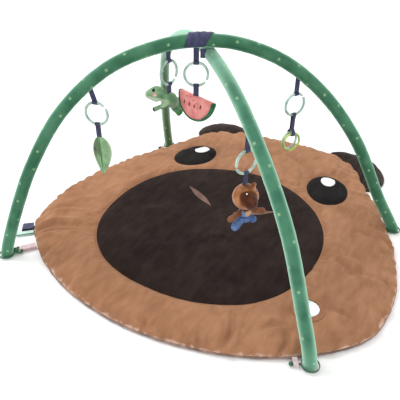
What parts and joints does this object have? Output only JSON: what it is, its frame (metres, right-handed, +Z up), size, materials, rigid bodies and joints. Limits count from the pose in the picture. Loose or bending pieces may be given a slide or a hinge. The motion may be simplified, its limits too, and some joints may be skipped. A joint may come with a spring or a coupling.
{
  "type": "baby play mat with toy arches",
  "caption": "Padded floor play mat cut as a plain animal face, with crossed padded arches tied to its edge that carry soft hanging toys on plastic rings.",
  "frame": {"origin": "middle of the footprint, on the floor under the mat", "axes": "+Y from the face's chin to its forehead and ears, +Z up, +X to the right of the face seen from above with the ears away from the viewer"},
  "size_m": [0.9344, 1.0168, 0.5167],
  "materials": {
    "tan_velour": "soft short pile",
    "brown_velour": "soft short pile",
    "black_velour": "soft short pile",
    "white_velour": "soft short pile",
    "mauve_velour": "soft short pile",
    "backing_cloth": "plain weave",
    "green_print": "smooth printed cloth",
    "navy_ribbon": "woven ribbon",
    "mint_ribbon": "woven ribbon",
    "pale_tape": "woven tape",
    "dark_green_satin": "satin",
    "leaf_plush": "plush",
    "lizard_plush": "plush",
    "melon_plush": "plush",
    "rind_plush": "plush",
    "fur_plush": "plush",
    "dark_fur_plush": "plush",
    "blue_denim": "fine twill",
    "mint_plastic": "clear tinted gloss",
    "lime_plastic": "clear tinted gloss",
    "mirror_film": "soft mirror film"
  },
  "bodies": {
    "root": {"mat_pad": "tan_velour", "mirror_ring": "tan_velour", "muzzle": "brown_velour", "ear_left": "brown_velour", "ear_right": "brown_velour", "eye_left": "black_velour", "eye_right": "black_velour", "eye_light_left": "white_velour", "eye_light_right": "white_velour", "nostril_left": "mauve_velour", "nostril_right": "mauve_velour", "mat_backing": "backing_cloth", "arch_over": "green_print", "arch_under": "green_print", "crossing_cover": "navy_ribbon", "crossing_tab": "navy_ribbon", "tag_navy": "navy_ribbon", "leaf_tab": "navy_ribbon", "lizard_tab": "navy_ribbon", "melon_tab": "navy_ribbon", "plush_tab": "navy_ribbon", "teether_tab": "navy_ribbon", "leaf_ribbon": "navy_ribbon", "lizard_ribbon": "navy_ribbon", "melon_ribbon": "navy_ribbon", "plush_ribbon": "navy_ribbon", "teether_ribbon": "navy_ribbon", "tag_mint": "mint_ribbon", "loop_front_left": "pale_tape", "loop_front_right": "pale_tape", "loop_back_left": "pale_tape", "loop_back_right": "pale_tape", "tie_front_left": "dark_green_satin", "tie_front_right": "dark_green_satin", "tie_back_left": "dark_green_satin", "tie_back_right": "dark_green_satin", "leaf": "leaf_plush", "lizard": "lizard_plush", "melon_flesh": "melon_plush", "melon_rind": "rind_plush", "plush_head": "fur_plush", "plush_body": "fur_plush", "plush_muzzle": "dark_fur_plush", "plush_trousers": "blue_denim", "leaf_ring": "mint_plastic", "lizard_ring": "mint_plastic", "melon_ring": "mint_plastic", "plush_ring": "mint_plastic", "teether_ring": "mint_plastic", "teether_mint": "mint_plastic", "teether_lime": "lime_plastic", "mirror": "mirror_film"}
  },
  "joints": []
}
